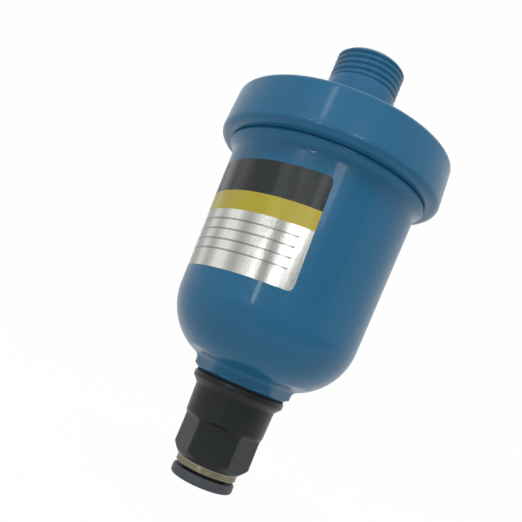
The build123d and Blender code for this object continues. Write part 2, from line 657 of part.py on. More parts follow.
# ------------------------------------------------------------------ pilot valve and lever
def make_pilot_cap():
    """Cap of the cylinder: plug with a seal groove, hole for the nozzle, two ears for the lever."""
    plug = CYLINDER_BORE - TIGHT_GAP
    groove = CAP_SEAL_SECTION + SEAL_GAP
    groove_floor = CYLINDER_BORE - SEAL_GAP - CAP_SEAL_SECTION - groove
    plug_foot = CYLINDER_TOP - CAP_PLUG
    seal_z = CYLINDER_TOP - CAP_PLUG / 2
    eye = NOZZLE_RADIUS + TIGHT_GAP
    body = turned(
        (eye, CAP_TOP),
        (CYLINDER_RADIUS, CAP_TOP),
        (CYLINDER_RADIUS, CYLINDER_TOP),
        (plug, CYLINDER_TOP),
        (plug, seal_z + groove),
        (groove_floor, seal_z + groove),
        (groove_floor, seal_z - groove),
        (plug, seal_z - groove),
        (plug, plug_foot),
        (eye, plug_foot),
    )
    across = LEVER_WIDTH / 2 + LEVER_SIDE_GAP + EAR_THICKNESS / 2
    rise = PIVOT_Z - CAP_TOP
    upright = Pos(LEVER_PIVOT_X, 0, CAP_TOP + rise / 2) * Box(2 * EAR_RADIUS, EAR_THICKNESS, rise)
    ear = upright + cross_rod(EAR_RADIUS, EAR_THICKNESS, LEVER_PIVOT_X, PIVOT_Z)
    ears = Pos(0, across, 0) * ear + Pos(0, -across, 0) * ear
    hole = cross_rod(PIN_RADIUS + TIGHT_GAP, 4 * LEVER_WIDTH, LEVER_PIVOT_X, PIVOT_Z)
    return body + ears - hole


def make_pilot_nozzle():
    """Pilot nozzle: a bored plug with a coned tip that the lever's pad closes."""
    return turned(
        (NOZZLE_BORE, CYLINDER_TOP - CAP_PLUG),
        (NOZZLE_RADIUS, CYLINDER_TOP - CAP_PLUG),
        (NOZZLE_RADIUS, NOZZLE_Z - NOZZLE_CONE),
        (NOZZLE_TIP, NOZZLE_Z),
        (NOZZLE_BORE, NOZZLE_Z),
    )


def make_lever():
    """Lever: hub on the pin, arm over the nozzle with a pocket for the pad, nose over the float."""
    length = LEVER_PIVOT_X + LEVER_REACH + LEVER_NOSE
    arm = Pos(LEVER_PIVOT_X - length / 2, 0, ARM_FOOT + LEVER_THICKNESS / 2) * Box(
        length, LEVER_WIDTH, LEVER_THICKNESS
    )
    hub = cross_rod(LEVER_HUB, LEVER_WIDTH, LEVER_PIVOT_X, PIVOT_Z)
    neck_height = ARM_FOOT + LEVER_THICKNESS - PIVOT_Z
    neck = Pos(LEVER_PIVOT_X, 0, PIVOT_Z + neck_height / 2) * Box(2 * LEVER_HUB, LEVER_WIDTH, neck_height)
    leg = Pos(-LEVER_REACH, 0, (NOSE_Z + ARM_FOOT) / 2) * Box(
        2 * LEVER_NOSE, LEVER_WIDTH, ARM_FOOT - NOSE_Z
    )
    nose = cross_rod(LEVER_NOSE, LEVER_WIDTH, -LEVER_REACH, NOSE_Z)
    pocket = rod(PAD_RADIUS + TIGHT_GAP, ARM_FOOT, NOZZLE_Z + PAD_THICKNESS + TIGHT_GAP)
    hole = cross_rod(PIN_RADIUS + SLIDE_GAP, 2 * LEVER_WIDTH, LEVER_PIVOT_X, PIVOT_Z)
    return arm + hub + neck + leg + nose - pocket - hole


def make_float():
    """Float: a thick ring guided by the cylinder, with a shoulder inside that meets the clip."""
    pocket = CLIP_RADIUS + FREE_GAP
    return turned(
        (FLOAT_BORE, REST_Z),
        (FLOAT_RADIUS, REST_Z),
        (FLOAT_RADIUS, FLOAT_TOP),
        (pocket, FLOAT_TOP),
        (pocket, FLOAT_SHOULDER),
        (FLOAT_BORE, FLOAT_SHOULDER),
        rounds={1: FLOAT_FILLET, 2: FLOAT_FILLET},
    )


# ------------------------------------------------------------------ the whole valve
def all_parts():
    """Every piece by the name of its node."""
    pin_length = LEVER_WIDTH + 2 * (LEVER_SIDE_GAP + EAR_THICKNESS)
    return {
        "lid": make_lid(),
        "lid_seal": seal_ring(SEAL_RADIUS, SEAL_SECTION, SEAL_Z),
        "bowl": make_bowl(),
        "neck_gasket": tube(GASKET_RADIUS, PORT_RADIUS + TIGHT_GAP, FITTING_Z, NECK_Z),
        "fitting_body": make_fitting_body(),
        "tube_seal": seal_ring(
            TUBE_SEAL_RADIUS, TUBE_SEAL_SECTION, WASHER_TOP + SEAL_GAP + TUBE_SEAL_SECTION
        ),
        "seal_washer": make_seal_washer(),
        "gripper": make_gripper(),
        "brass_ring": make_brass_ring(),
        "release_collar": make_release_collar(),
        "drain_base": make_drain_base(),
        "base_seal": seal_ring(BASE_SEAL_RADIUS, BASE_SEAL_SECTION, BOSS_Z + SEAL_GAP + BASE_SEAL_SECTION),
        "valve_housing": make_valve_housing(),
        "drain_strainer": make_strainer(),
        "float_clip": make_float_clip(),
        "valve_stem": make_valve_stem(),
        "valve_seal": seal_ring(SEAT_RADIUS - SEAL_GAP - VALVE_SEAL_SECTION, VALVE_SEAL_SECTION, STEM_SEAL_Z),
        "piston": make_piston(),
        "piston_seal": seal_ring(
            CYLINDER_BORE - SEAL_GAP - PISTON_SEAL_SECTION, PISTON_SEAL_SECTION, PISTON_TOP - PISTON_WEB / 2
        ),
        "piston_spring": make_spring(),
        "pilot_cap": make_pilot_cap(),
        "cap_seal": seal_ring(
            CYLINDER_BORE - SEAL_GAP - CAP_SEAL_SECTION, CAP_SEAL_SECTION, CYLINDER_TOP - CAP_PLUG / 2
        ),
        "pilot_nozzle": make_pilot_nozzle(),
        "lever": make_lever(),
        "pilot_pad": rod(PAD_RADIUS, NOZZLE_Z, NOZZLE_Z + PAD_THICKNESS),
        "lever_pin": cross_rod(PIN_RADIUS, pin_length, LEVER_PIVOT_X, PIVOT_Z),
        "float": make_float(),
    }


os.makedirs("parts", exist_ok=True)
for name, solid in all_parts().items():
    export_step(solid, f"parts/{name}.step")
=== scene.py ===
"""Dresses the automatic drain valve: painted lid and bowl, foil label, black fitting and brass ring."""

from __future__ import annotations

import logging
import math
from dataclasses import dataclass, field
from enum import Enum
from typing import Any, Sequence

import bmesh
import bpy
from mathutils import Matrix, Vector

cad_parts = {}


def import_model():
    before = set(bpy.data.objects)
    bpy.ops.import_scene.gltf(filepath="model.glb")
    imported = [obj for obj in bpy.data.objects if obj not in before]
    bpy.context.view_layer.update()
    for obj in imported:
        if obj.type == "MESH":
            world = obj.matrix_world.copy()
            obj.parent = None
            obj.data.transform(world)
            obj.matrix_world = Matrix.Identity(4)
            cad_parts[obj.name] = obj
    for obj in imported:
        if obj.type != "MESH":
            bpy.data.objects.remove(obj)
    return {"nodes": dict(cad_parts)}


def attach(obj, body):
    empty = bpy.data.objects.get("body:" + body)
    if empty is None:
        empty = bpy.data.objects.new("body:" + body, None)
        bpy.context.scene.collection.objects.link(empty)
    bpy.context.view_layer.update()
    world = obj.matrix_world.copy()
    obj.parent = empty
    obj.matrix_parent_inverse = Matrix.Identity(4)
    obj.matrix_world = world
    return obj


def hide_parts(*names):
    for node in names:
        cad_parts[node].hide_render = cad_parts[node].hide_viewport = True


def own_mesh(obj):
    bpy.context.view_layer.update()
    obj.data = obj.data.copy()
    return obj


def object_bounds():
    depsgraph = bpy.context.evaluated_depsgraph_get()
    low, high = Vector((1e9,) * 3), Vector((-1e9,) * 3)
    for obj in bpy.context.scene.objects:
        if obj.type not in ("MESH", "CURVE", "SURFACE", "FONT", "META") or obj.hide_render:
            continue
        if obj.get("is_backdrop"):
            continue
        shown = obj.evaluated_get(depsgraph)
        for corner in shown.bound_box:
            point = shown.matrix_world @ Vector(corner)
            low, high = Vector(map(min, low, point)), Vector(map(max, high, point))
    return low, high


log = logging.getLogger("drain_valve")
MM = 0.001
FULL_TURN = 2 * math.pi
FLAT_TURN = 60.0            # degrees from one flat of a hexagon to the next
RING_STEPS = 160            # faces round a turned piece
FINE_RING_STEPS = 240       # faces round a turned piece that has flats
THREAD_STEPS = 10           # rings cut into one pitch of a thread
RUN_OUT = 0.5               # pitches over which a thread fades at each end
FLAT_SPACING = 0.2          # millimetres between the rings cut for flats
SHARP_LIMIT = 30.0          # degrees, past which an edge is shaded sharp
MERGE_REACH = 1e-7          # metres, within which two vertices are one
PLANE_REACH = 1e-8          # metres, within which a vertex lies on a cutting plane
RING_REACH = 2e-6           # metres, within which a vertex lies on a ring
WALL_REACH = 0.02           # millimetres, within which a vertex lies on a threaded wall
LEVEL_REACH = 1e-4          # millimetres, within which a vertex lies on a level


class Grade(Enum):
    """How finely a turned corner is rounded."""

    COARSE = 4
    FINE = 8


# ------------------------------------------------------------------ shader building
class Value:
    """A shader socket that takes part in Python arithmetic."""

    def __init__(self, shader: "Shader", socket: bpy.types.NodeSocket) -> None:
        """Keeps the socket and the shader it belongs to."""
        self.shader = shader
        self.socket = socket

    def _math(self, operation: str, *operands: Any) -> "Value":
        """Adds one Math node over the given operands."""
        inputs = dict(enumerate(operands))
        return self.shader.node("ShaderNodeMath", {"operation": operation}, inputs)

    def __add__(self, other: Any) -> "Value":
        """Sum."""
        return self._math("ADD", self, other)

    __radd__ = __add__

    def __mul__(self, other: Any) -> "Value":
        """Product."""
        return self._math("MULTIPLY", self, other)

    __rmul__ = __mul__

    def __sub__(self, other: Any) -> "Value":
        """Difference."""
        return self._math("SUBTRACT", self, other)

    def __rsub__(self, other: Any) -> "Value":
        """Difference with the number on the left."""
        return self._math("SUBTRACT", other, self)

    def __gt__(self, other: Any) -> "Value":
        """One where this value is greater, and zero elsewhere."""
        return self._math("GREATER_THAN", self, other)

    def __lt__(self, other: Any) -> "Value":
        """One where this value is less, and zero elsewhere."""
        return self._math("LESS_THAN", self, other)

    def between(self, low: float, high: float) -> "Value":
        """One between two limits, and zero elsewhere."""
        return (self > low) * (self < high)


class Home(Enum):
    """What a set of nodes belongs to, by the name of its output node."""

    MATERIAL = "ShaderNodeOutputMaterial"
    WORLD = "ShaderNodeOutputWorld"


class Shader:
    """One material, or the world, and the nodes in it."""

    def __init__(self, name: str, home: Home = Home.MATERIAL) -> None:
        """Makes an empty set of nodes."""
        store = bpy.data.worlds if home is Home.WORLD else bpy.data.materials
        self.home = home
        self.owner = store.new(name)
        self.owner.use_nodes = True
        self.tree = self.owner.node_tree
        self.tree.nodes.clear()

    def node(self, kind: str, settings: dict[str, Any] | None = None,
             inputs: dict[Any, Any] | None = None, output: Any = 0) -> Value:
        """Adds a node.

        Args:
            kind: the node's type name.
            settings: properties, set before the sockets.
            inputs: values or links by socket name or number.
            output: the output socket to hand back.

        Returns:
            The chosen output.
        """
        made = self.tree.nodes.new(kind)
        for key, value in (settings or {}).items():
            setattr(made, key, value)
        for key, value in (inputs or {}).items():
            if isinstance(value, Value):
                self.tree.links.new(value.socket, made.inputs[key])
            else:
                made.inputs[key].default_value = value
        return Value(self, made.outputs[output])

    def mix(self, share: Any, first: Any, second: Any) -> Value:
        """Mixes two colours by a share."""
        return self.node("ShaderNodeMix", {"data_type": "RGBA"}, {0: share, 6: first, 7: second}, 2)

    def noise(self, vector: Value, scale: float, detail: float = 2.0) -> Value:
        """A noise value over the given coordinates."""
        inputs = {"Vector": vector, "Scale": scale, "Detail": detail}
        return self.node("ShaderNodeTexNoise", {}, inputs, "Fac")

    def place(self, scale: Sequence[float] = (1, 1, 1)) -> Value:
        """Object coordinates, stretched if asked."""
        point = self.node("ShaderNodeTexCoord", {}, {}, "Object")
        return self.node("ShaderNodeMapping", {}, {"Vector": point, "Scale": tuple(scale)}, "Vector")

    def bump(self, height: Value, strength: float, distance: float) -> Value:
        """A bumped normal from a height."""
        inputs = {"Strength": strength, "Distance": distance, "Height": height}
        return self.node("ShaderNodeBump", {}, inputs, "Normal")

    def finish(self, **sockets: Any) -> bpy.types.Material:
        """Closes the material with a Principled surface; underscores in names stand for spaces."""
        inputs = {key.replace("_", " "): value for key, value in sockets.items()}
        surface = self.node("ShaderNodeBsdfPrincipled", {}, inputs)
        self.node_output(surface)
        return self.owner

    def node_output(self, surface: Value) -> None:
        """Joins a surface to the output node."""
        end = self.tree.nodes.new(self.home.value)
        self.tree.links.new(surface.socket, end.inputs["Surface"])

    def pale_rays(self) -> Value:
        """One for camera, glossy and transmission rays, which see a white surround."""
        kinds = ("Is Camera Ray", "Is Glossy Ray", "Is Transmission Ray")
        camera, glossy, through = (self.node("ShaderNodeLightPath", {}, {}, kind) for kind in kinds)
        return camera + glossy + through


def opaque(colour: Sequence[float], gain: float = 1.0) -> tuple[float, float, float, float]:
    """A colour with full alpha, brightened or darkened by a gain."""
    return (colour[0] * gain, colour[1] * gain, colour[2] * gain, 1.0)


# ------------------------------------------------------------------ finishes
@dataclass(frozen=True)
class BakedPaint:
    """Glossy baked enamel over a casting, with a slight orange peel."""

    colour: tuple[float, float, float] = (0.014, 0.112, 0.220)
    darkest: float = 0.90
    lightest: float = 1.10
    roughness: float = 0.30
    cloud_scale: float = 45
    peel_scale: float = 1300
    speck_scale: float = 3600
    speck_share: float = 0.4
    peel_strength: float = 0.36
    peel_height: float = 0.00025
    gloss: float = 0.17
    coat: float = 0.14
    coat_roughness: float = 0.10

    def build(self) -> bpy.types.Material:
        """Makes the material."""
        s = Shader("blue_enamel")
        place = s.place()
        cloud = s.noise(place, self.cloud_scale, 3)
        peel = s.noise(place, self.peel_scale, 2)
        speck = s.noise(place, self.speck_scale, 1)
        return s.finish(
            Base_Color=s.mix(cloud, opaque(self.colour, self.darkest), opaque(self.colour, self.lightest)),
            Roughness=self.roughness + 0.10 * (cloud - 0.5) + 0.06 * (speck - 0.5),
            Normal=s.bump(peel + self.speck_share * speck, self.peel_strength, self.peel_height),
            Specular_IOR_Level=self.gloss,
            Coat_Weight=self.coat + 0.05 * cloud,
            Coat_Roughness=self.coat_roughness,
        )


@dataclass(frozen=True)
class MouldedPlastic:
    """Moulded plastic with a fine texture and faint wear."""

    name: str
    colour: tuple[float, float, float]
    roughness: float
    grain: float = 0.12
    gloss: float = 0.20
    darkest: float = 0.85
    lightest: float = 1.15
    cloud_scale: float = 120
    grain_scale: float = 3200
    grain_height: float = 0.0001

    def build(self) -> bpy.types.Material:
        """Makes the material."""
        s = Shader(self.name)
        place = s.place()
        cloud = s.noise(place, self.cloud_scale, 3)
        grain = s.noise(place, self.grain_scale, 2)
        return s.finish(
            Base_Color=s.mix(cloud, opaque(self.colour, self.darkest), opaque(self.colour, self.lightest)),
            Roughness=self.roughness + 0.12 * (cloud - 0.5),
            Specular_IOR_Level=self.gloss,
            Normal=s.bump(grain, self.grain, self.grain_height),
        )


@dataclass(frozen=True)
class TurnedMetal:
    """Metal with fine turning lines round the axis."""

    name: str
    colour: tuple[float, float, float]
    roughness: float
    darkest: float = 0.82
    lightest: float = 1.06
    squeeze: float = 60
    line_scale: float = 160
    stain_scale: float = 220
    line_strength: float = 0.15
    line_height: float = 0.00005

    def build(self) -> bpy.types.Material:
        """Makes the material."""
        s = Shader(self.name)
        lines = s.noise(s.place((1, 1, self.squeeze)), self.line_scale, 2)
        stain = s.noise(s.place(), self.stain_scale, 3)
        return s.finish(
            Base_Color=s.mix(stain, opaque(self.colour, self.darkest), opaque(self.colour, self.lightest)),
            Metallic=1.0,
            Roughness=self.roughness + 0.14 * (lines - 0.5),
            Normal=s.bump(lines, self.line_strength, self.line_height),
        )


@dataclass(frozen=True)
class FoilLabel:
    """Brushed foil with a black band, an ochre band and plain rules; it carries no lettering. Its silver
    carries a painted reflection: broad lighter and darker bands in its colour.

    The label's own UV map is in millimetres: U along the bowl and V up.
    """

    length: float
    black_foot: float = 21.25
    ochre_foot: float = 15.95
    rules: tuple[float, ...] = (13.0, 10.2, 7.4, 4.7)
    rule_height: float = 0.5
    rule_share: float = 0.65
    margin: float = 3.2
    black: tuple[float, float, float] = (0.012, 0.016, 0.018)
    ochre: tuple[float, float, float] = (0.39, 0.32, 0.025)
    rule_grey: tuple[float, float, float] = (0.10, 0.10, 0.10)
    # the dim and bright ends of the silver's painted reflection bands
    painted_dim_foil: tuple[float, float, float] = (0.28, 0.29, 0.27)
    painted_bright_foil: tuple[float, float, float] = (0.72, 0.72, 0.69)
    brush_scale: float = 9.0
    wave_scale: float = 0.16
    squeeze: float = 0.02
    painted_sheen_low: float = 0.36
    painted_sheen_gain: float = 3.2
    wave_strength: float = 0.10
    wave_height: float = 0.6
    roughness: float = 0.26
    gloss: float = 0.30

    def build(self) -> bpy.types.Material:
        """Makes the material."""
        s = Shader("foil_label")
        uv = s.node("ShaderNodeTexCoord", {}, {}, "UV")
        u = s.node("ShaderNodeSeparateXYZ", {}, {0: uv}, "X")
        v = s.node("ShaderNodeSeparateXYZ", {}, {0: uv}, "Y")
        scale = (1.0, self.squeeze, 1.0)
        stretched = s.node("ShaderNodeMapping", {}, {"Vector": uv, "Scale": scale}, "Vector")
        brush = s.noise(stretched, self.brush_scale, 2)
        wave = s.noise(stretched, self.wave_scale, 0)
        black = v > self.black_foot
        ochre = v.between(self.ochre_foot, self.black_foot)
        written = u.between(self.margin, self.length - self.margin)
        ruled: Any = 0.0
        for foot in self.rules:
            ruled = v.between(foot, foot + self.rule_height) * written + ruled
        # painted reflection: the silver's colour runs between a dim and a bright foil along the wave noise,
        # which also bumps the foil
        painted_glint = (wave - self.painted_sheen_low) * self.painted_sheen_gain
        silver_with_painted_sheen = s.mix(painted_glint, opaque(self.painted_dim_foil), opaque(self.painted_bright_foil))
        marked = s.mix(ruled * self.rule_share, silver_with_painted_sheen, opaque(self.rule_grey))
        banded = s.mix(ochre, marked, opaque(self.ochre))
        colour = s.mix(black, banded, opaque(self.black))
        printed = black + ochre
        return s.finish(
            Base_Color=colour,
            Metallic=0.85 * (1 - printed),
            Roughness=self.roughness + 0.12 * (brush - 0.5) + 0.02 * printed,
            Specular_IOR_Level=self.gloss,
            Normal=s.bump(wave + 0.03 * brush, self.wave_strength, self.wave_height),
        )


# ------------------------------------------------------------------ mesh building
@dataclass
class Corner:
    """A point of a turned outline: radius and height in millimetres, and its rounding radius."""

    radius: float
    height: float
    rounding: float = 0.0
    grade: Grade = Grade.FINE


@dataclass
class Sweep:
    """An arc of a turned outline about a centre, from the point before it; positive turns down."""

    radius: float
    height: float
    degrees: float
    steps: int = 26


class Turning:
    """A closed outline spun about Z into a solid of revolution."""

    def __init__(self, steps: Sequence[Corner | Sweep], around: int = RING_STEPS) -> None:
        """Draws the outline as a wire and spins it.

        Args:
            steps: the corners and arcs in order; the last joins the first.
            around: number of steps in a full turn.
        """
        self.mesh = bmesh.new()
        wire: list[bmesh.types.BMVert] = []
        for step in steps:
            if isinstance(step, Corner):
                spot = Vector((step.radius, 0, step.height)) * MM
                wire.append(bmesh.ops.create_vert(self.mesh, co=spot)["vert"][0])
            else:
                wire.extend(self._arc(wire[-1], step))
        for first, second in zip(wire, wire[1:] + wire[:1]):
            if not any(second in edge.verts for edge in first.link_edges):
                self.mesh.edges.new((first, second))
        bmesh.ops.remove_doubles(self.mesh, verts=self.mesh.verts, dist=MERGE_REACH)
        bmesh.ops.spin(
            self.mesh, geom=[*self.mesh.verts, *self.mesh.edges], cent=(0, 0, 0), axis=(0, 0, 1),
            dvec=(0, 0, 0), angle=FULL_TURN, steps=around, use_merge=True, use_duplicate=False,
        )
        self.tidy()
        self._round([step for step in steps if isinstance(step, Corner)])

    def _arc(self, start: bmesh.types.BMVert, step: Sweep) -> list[bmesh.types.BMVert]:
        """Spins one vertex about an arc's centre and hands back the arc's new vertices in order."""
        known = set(self.mesh.verts)
        bmesh.ops.spin(
            self.mesh, geom=[start], cent=(step.radius * MM, 0, step.height * MM), axis=(0, 1, 0),
            dvec=(0, 0, 0), angle=math.radians(step.degrees), steps=step.steps,
            use_merge=False, use_duplicate=False,
        )
        fresh = set(self.mesh.verts) - known
        ordered: list[bmesh.types.BMVert] = []
        here = start
        while fresh:
            beside = (edge.other_vert(here) for edge in here.link_edges)
            here = next(vert for vert in beside if vert in fresh)
            fresh.remove(here)
            ordered.append(here)
        return ordered

    def _round(self, corners: Sequence[Corner]) -> None:
        """Bevels the rings at the corners that have a rounding."""
        for index, corner in enumerate(corners):
            if not corner.rounding:
                continue
            here = Vector((corner.radius, corner.height))
            before, after = corners[index - 1], corners[(index + 1) % len(corners)]
            into = here - Vector((before.radius, before.height))
            out = Vector((after.radius, after.height)) - here
            width = corner.rounding * math.tan(into.angle(out) / 2) * MM
            bmesh.ops.bevel(
                self.mesh, geom=self.ring(corner.radius, corner.height), offset=width,
                offset_type="OFFSET", segments=corner.grade.value, profile=0.5, affect="EDGES",
                clamp_overlap=True, material=-1,
            )

    def ring(self, radius: float, height: float) -> list[bmesh.types.BMEdge]:
        """The edges of the ring at a radius and height in millimetres."""
        def on(vert: bmesh.types.BMVert) -> bool:
            """True for a vertex of the ring."""
            away = math.hypot(vert.co.x, vert.co.y) - radius * MM
            return abs(away) < RING_REACH and abs(vert.co.z - height * MM) < RING_REACH
        return [edge for edge in self.mesh.edges if on(edge.verts[0]) and on(edge.verts[1])]

    def tidy(self) -> None:
        """Merges doubles and turns the faces outwards."""
        bmesh.ops.remove_doubles(self.mesh, verts=self.mesh.verts, dist=MERGE_REACH)
        bmesh.ops.recalc_face_normals(self.mesh, faces=self.mesh.faces)

    def divide(self, low: float, high: float, spacing: float) -> None:
        """Cuts level rings into a band of the solid."""
        for index in range(int((high - low) / spacing) + 1):
            bmesh.ops.bisect_plane(
                self.mesh, geom=[*self.mesh.verts, *self.mesh.edges, *self.mesh.faces], dist=PLANE_REACH,
                plane_co=(0, 0, (low + index * spacing) * MM), plane_no=(0, 0, 1),
            )

    def thread(self, radius: float, low: float, high: float, pitch: float, depth: float) -> None:
        """Cuts a rounded right-hand thread into the wall at a radius, with run-out at both ends."""
        self.divide(low, high, pitch / THREAD_STEPS)
        for vert in self.mesh.verts:
            height = vert.co.z / MM
            if abs(math.hypot(vert.co.x, vert.co.y) / MM - radius) > WALL_REACH or not low <= height <= high:
                continue
            turn = math.atan2(vert.co.y, vert.co.x) / FULL_TURN
            wave = 0.5 - 0.5 * math.cos(FULL_TURN * (height / pitch - turn))
            fade = min(1.0, (height - low) / (RUN_OUT * pitch), (high - height) / (RUN_OUT * pitch))
            share = 1 - depth * wave * fade / radius
            vert.co.x *= share
            vert.co.y *= share

    def flats(self, across: float, turn: float, low: float, top: float, high: float,
              slope: float, soft: float) -> None:
        """Presses six flats into the wall, each with a slanted relief above it.

        Args:
            across: size across the flats.
            turn: direction of the first flat, in degrees from the front.
            low: level of the flats' foot.
            top: level where the flats end and the reliefs begin.
            high: level above which nothing is pressed.
            slope: the reliefs' angle from level, in degrees.
            soft: how far from an edge its softening reaches.
        """
        self.divide(low, high, FLAT_SPACING)
        for vert in self.mesh.verts:
            radius, height = math.hypot(vert.co.x, vert.co.y) / MM, vert.co.z / MM
            if not low - LEVEL_REACH <= height <= high + LEVEL_REACH or radius < across / 2 - soft:
                continue
            rise = (height - top + math.hypot(height - top, soft)) / 2
            limit = across / 2 + rise / math.tan(math.radians(slope))
            angle = math.degrees(math.atan2(vert.co.y, vert.co.x)) - turn
            off = (angle + 2 * FLAT_TURN) % FLAT_TURN - FLAT_TURN / 2
            wanted = radius
            for chord in (off - FLAT_TURN, off, off + FLAT_TURN):
                wanted = soft_least(wanted, limit / math.cos(math.radians(chord)), soft)
            vert.co.x *= wanted / radius
            vert.co.y *= wanted / radius

    def piece(self, name: str) -> bpy.types.Object:
        """Writes the solid into a new object."""
        return into_object(self.mesh, name)


def soft_least(first: float, second: float, soft: float) -> float:
    """The smaller of two values, eased where they are closer than the given reach."""
    near = max(0.0, 1 - abs(first - second) / soft)
    return min(first, second) - near * near * soft / 4


def into_object(mesh: bmesh.types.BMesh, name: str) -> bpy.types.Object:
    """Writes a bmesh into a new smooth-shaded object at the origin, and frees it."""
    data = bpy.data.meshes.new(name)
    mesh.to_mesh(data)
    mesh.free()
    made = bpy.data.objects.new(name, data)
    bpy.context.scene.collection.objects.link(made)
    shade(made)
    return made


def shade(piece: bpy.types.Object) -> None:
    """Shades a piece smooth, with its edges sharp past the sharp limit."""
    work = bmesh.new()
    work.from_mesh(piece.data)
    for face in work.faces:
        face.smooth = True
    for edge in work.edges:
        sharp = len(edge.link_faces) == 2 and edge.calc_face_angle(0.0) > math.radians(SHARP_LIMIT)
        edge.smooth = not sharp
    work.to_mesh(piece.data)
    work.free()


def dress(piece: bpy.types.Object, material: bpy.types.Material, body: str,
          slot: str | None, *nodes: str) -> None:
    """Gives a piece its material and body, and hides the CAD nodes it stands for."""
    piece.data.materials.clear()
    piece.data.materials.append(material)
    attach(piece, body)
    if nodes:
        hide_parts(*nodes)
    log.info("%s: %d faces on %s", piece.name, len(piece.data.polygons), body)


# ------------------------------------------------------------------ sub-assemblies
def made_by(finish: BakedPaint | MouldedPlastic | TurnedMetal) -> Any:
    """A field whose value is the material that a finish builds."""
    return field(default_factory=finish.build)


@dataclass
class Finishes:
    """The materials used on the valve."""

    paint: bpy.types.Material = made_by(BakedPaint())
    black: bpy.types.Material = made_by(
        MouldedPlastic("black_plastic", (0.011, 0.014, 0.015), 0.36, gloss=0.24))
    collar: bpy.types.Material = made_by(
        MouldedPlastic("grey_black_plastic", (0.058, 0.064, 0.072), 0.45))
    pale: bpy.types.Material = made_by(
        MouldedPlastic("pale_plastic", (0.72, 0.72, 0.68), 0.40, gloss=0.4))
    rubber: bpy.types.Material = made_by(
        MouldedPlastic("black_rubber", (0.014, 0.014, 0.015), 0.70, 0.2))
    brass: bpy.types.Material = made_by(TurnedMetal("brass", (0.26, 0.235, 0.17), 0.26))
    steel: bpy.types.Material = made_by(TurnedMetal("steel", (0.55, 0.56, 0.57), 0.28))


@dataclass
class Lid:
    """Lid with its threaded nipple; sizes in millimetres."""

    nipple_radius: float = 10.4775
    nipple_top: float = 9.5
    nipple_chamfer: float = 0.9
    inlet: float = 7.0
    edge_rounding: float = 0.3
    crown: float = -9.7
    crown_rounding: float = 2.0
    radius: float = 32.7
    shoulder: float = -14.9
    shoulder_rounding: float = 1.5
    rim_radius: float = 33.318
    rim: float = -28.5
    rim_rounding: float = 2.2
    bore: float = 28.7
    bore_top: float = -19.1
    roof: float = 3.8
    thread_pitch: float = 1.814
    thread_depth: float = 0.42

    def build(self, finishes: Finishes) -> None:
        """Makes the lid and cuts its thread."""
        roof_edge = self.bore - self.roof / 2
        slope = (self.crown - self.shoulder) / (self.radius - self.nipple_radius)
        edge_level = self.crown - self.roof - slope * (roof_edge - self.nipple_radius)
        lid = Turning([
            Corner(self.inlet, self.nipple_top, self.edge_rounding, Grade.COARSE),
            Corner(self.nipple_radius - self.nipple_chamfer, self.nipple_top),
            Corner(self.nipple_radius, self.nipple_top - self.nipple_chamfer),
            Corner(self.nipple_radius, self.crown, self.crown_rounding),
            Corner(self.radius, self.shoulder, self.shoulder_rounding),
            Corner(self.rim_radius, self.rim, self.rim_rounding),
            Corner(self.bore, self.rim, self.edge_rounding, Grade.COARSE),
            Corner(self.bore, self.bore_top),
            Corner(roof_edge, edge_level),
            Corner(self.nipple_radius, self.crown - self.roof),
            Corner(self.inlet, self.crown - self.roof),
        ])
        lid.thread(self.nipple_radius, 0.0, self.nipple_top - self.nipple_chamfer,
                   self.thread_pitch, self.thread_depth)
        dress(lid.piece("painted_lid"), finishes.paint, "lid", "blue_paint", "lid")


